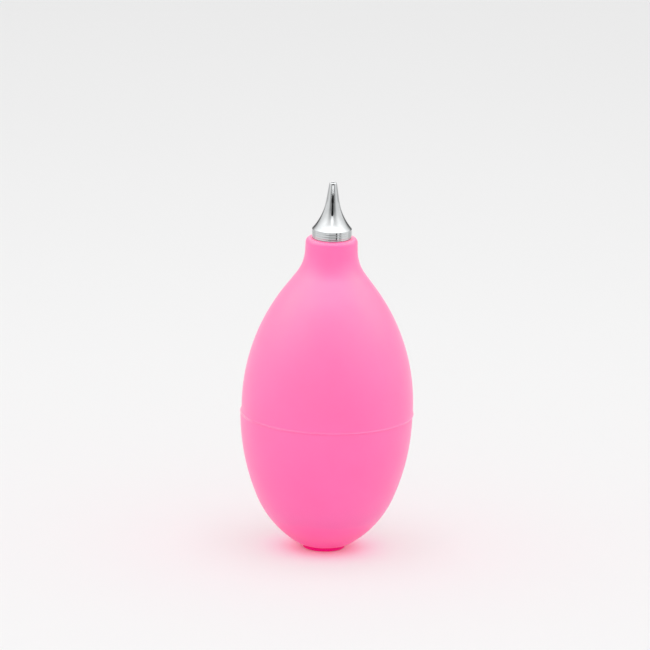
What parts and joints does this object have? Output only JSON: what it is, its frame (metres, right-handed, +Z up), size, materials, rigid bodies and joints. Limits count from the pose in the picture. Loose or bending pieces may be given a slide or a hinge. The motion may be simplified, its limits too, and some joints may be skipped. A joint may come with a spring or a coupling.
{
  "type": "dust blower bulb",
  "caption": "Soft hand-squeezed air blower: a rounded silicone bulb on a small foot, with a flared metal nozzle at the top and a check valve in the foot.",
  "frame": {"origin": "centre of the foot, on the surface the bulb stands on", "axes": "+Z up along the axis of the bulb and the nozzle; the body is round about Z"},
  "size_m": [0.0454, 0.0454, 0.0986],
  "materials": {
    "silicone": "matt, soft pink silicone with a faint translucence",
    "nozzle_chrome": "bright chrome plate over turned brass",
    "valve_brass": "turned brass",
    "ball_steel": "polished ball",
    "cage_nylon": "moulded natural nylon",
    "screen_steel": "etched stainless steel"
  },
  "bodies": {
    "base": {"bulb_lower": "silicone", "valve_body": "valve_brass", "valve_cage": "cage_nylon", "inlet_screen": "screen_steel", "screen_ring": "valve_brass"},
    "top": {"bulb_upper": "silicone"},
    "nozzle": {"nozzle": "nozzle_chrome"},
    "ball": {"valve_ball": "ball_steel"}
  },
  "joints": [
    {"name": "squeeze", "type": "slide", "parent": "base", "child": "top", "axis": [0, 0, -1], "range_m": [0, 0.014], "stiffness_N_per_m": 1800, "deforming": ["bulb_lower"]},
    {"name": "nozzle_pull", "type": "slide", "parent": "top", "child": "nozzle", "axis": [0, 0, 1], "range_m": [0, 0.014]},
    {"name": "valve_lift", "type": "slide", "parent": "base", "child": "ball", "axis": [0, 0, 1], "range_m": [0, 0.00105]}
  ]
}
